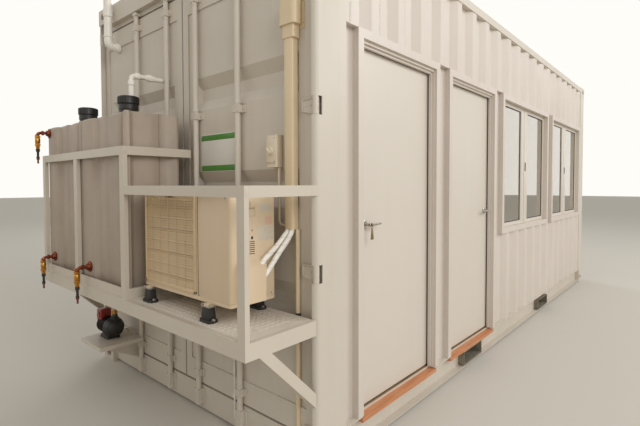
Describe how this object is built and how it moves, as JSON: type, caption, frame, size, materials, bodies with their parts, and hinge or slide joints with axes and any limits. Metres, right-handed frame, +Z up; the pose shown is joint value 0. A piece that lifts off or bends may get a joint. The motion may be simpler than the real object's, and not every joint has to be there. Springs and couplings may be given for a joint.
{
  "type": "shipping container cabin",
  "caption": "Steel container cabin with inward doors, strip windows, and an end platform carrying water tanks and an outdoor unit.",
  "frame": {"origin": "on the ground, under the middle of the overall box", "axes": "+Z up, +X out of the long wall with the doors and windows, -Y out of the end with the platform"},
  "size_m": [2.438, 6.5579, 3.042],
  "materials": {
    "paint_side": "semi-gloss cream paint, weathered",
    "paint_frame": "semi-gloss cream paint, weathered",
    "paint_under": "dull paint with road dirt",
    "paint_platform": "semi-gloss cream paint",
    "tread": "painted tread plate",
    "floor_board": "worn plywood",
    "lining": "matt white board",
    "leaf_paint": "semi-gloss cream paint",
    "handle_metal": "satin",
    "hinge_metal": "satin",
    "timber": "bare planed board",
    "window_frame": "smooth",
    "glass": "clear, dark room behind",
    "tank_plastic": "moulded polyethylene",
    "brass": "satin",
    "pipe_plastic": "smooth white pipe",
    "unit_paint": "satin powder coat",
    "unit_grille": "satin",
    "cap_plastic": "black ribbed screw cap",
    "sleeve_wrap": "white wrapped pipe insulation",
    "rubber": "matt black",
    "cover_plastic": "matt duct cover",
    "isolator_plastic": "satin",
    "pump_iron": "dull black paint"
  },
  "bodies": {
    "container": {"bottom_side_rails": "paint_frame", "cross_members": "paint_under", "fork_pockets": "paint_under", "end_sills": "paint_frame", "corner_castings": "paint_frame", "corner_posts": "paint_frame", "top_side_rails": "paint_frame", "end_headers": "paint_frame", "roof": "paint_side", "right_wall_piers": "paint_side", "right_wall_heads": "paint_side", "right_wall_window_bay": "paint_side", "left_wall": "paint_side", "far_wall": "paint_side", "floor": "floor_board", "wall_linings": "lining", "ceiling": "lining", "cargo_doors": "paint_frame", "locking_bars": "paint_frame", "cargo_hinges": "paint_frame", "bar_guides": "paint_frame", "door_surrounds": "paint_side", "door_frames": "paint_side", "leaf_hinges": "hinge_metal", "thresholds": "timber", "window_surrounds": "paint_side", "window_frames": "window_frame", "window_glass": "glass", "platform_frame": "paint_platform", "tread_plate": "tread", "guard_rail": "paint_platform", "tank_frame": "paint_platform", "platform_braces": "paint_platform", "water_tanks": "tank_plastic", "tank_caps": "cap_plastic", "tank_valves": "brass", "overflow_pipe": "pipe_plastic", "vent_pipe": "pipe_plastic", "ac_case": "unit_paint", "ac_grille": "unit_grille", "ac_valve_cover": "unit_paint", "insulated_pipes": "sleeve_wrap", "ac_feet": "rubber", "line_cover": "cover_plastic", "isolator": "isolator_plastic", "drain_pipe": "cover_plastic", "pump_shelf": "paint_platform", "pump": "pump_iron"},
    "door_1": {"door_leaf_1": "leaf_paint", "door_rose_1": "handle_metal"},
    "door_2": {"door_leaf_2": "leaf_paint", "door_rose_2": "handle_metal"},
    "handle_1": {"lever_1": "handle_metal"},
    "handle_2": {"lever_2": "handle_metal"}
  },
  "joints": [
    {"name": "door_1_hinge", "type": "hinge", "parent": "container", "child": "door_1", "pos_m": [1.11001, -1.549, 1.23], "axis": [0, 0, 1], "range_deg": [-90, 0]},
    {"name": "door_2_hinge", "type": "hinge", "parent": "container", "child": "door_2", "pos_m": [1.11001, -1.272, 1.23], "axis": [0, 0, 1], "range_deg": [0, 90]},
    {"name": "lever_1_spindle", "type": "hinge", "parent": "door_1", "child": "handle_1", "pos_m": [1.136, -2.304, 1.23], "axis": [1, 0, 0], "range_deg": [-45, 0], "stiffness_Nm_per_rad": 1.2, "springref_deg": 34.38},
    {"name": "lever_2_spindle", "type": "hinge", "parent": "door_2", "child": "handle_2", "pos_m": [1.136, -0.517, 1.23], "axis": [1, 0, 0], "range_deg": [0, 45], "stiffness_Nm_per_rad": 1.2, "springref_deg": -34.38}
  ]
}
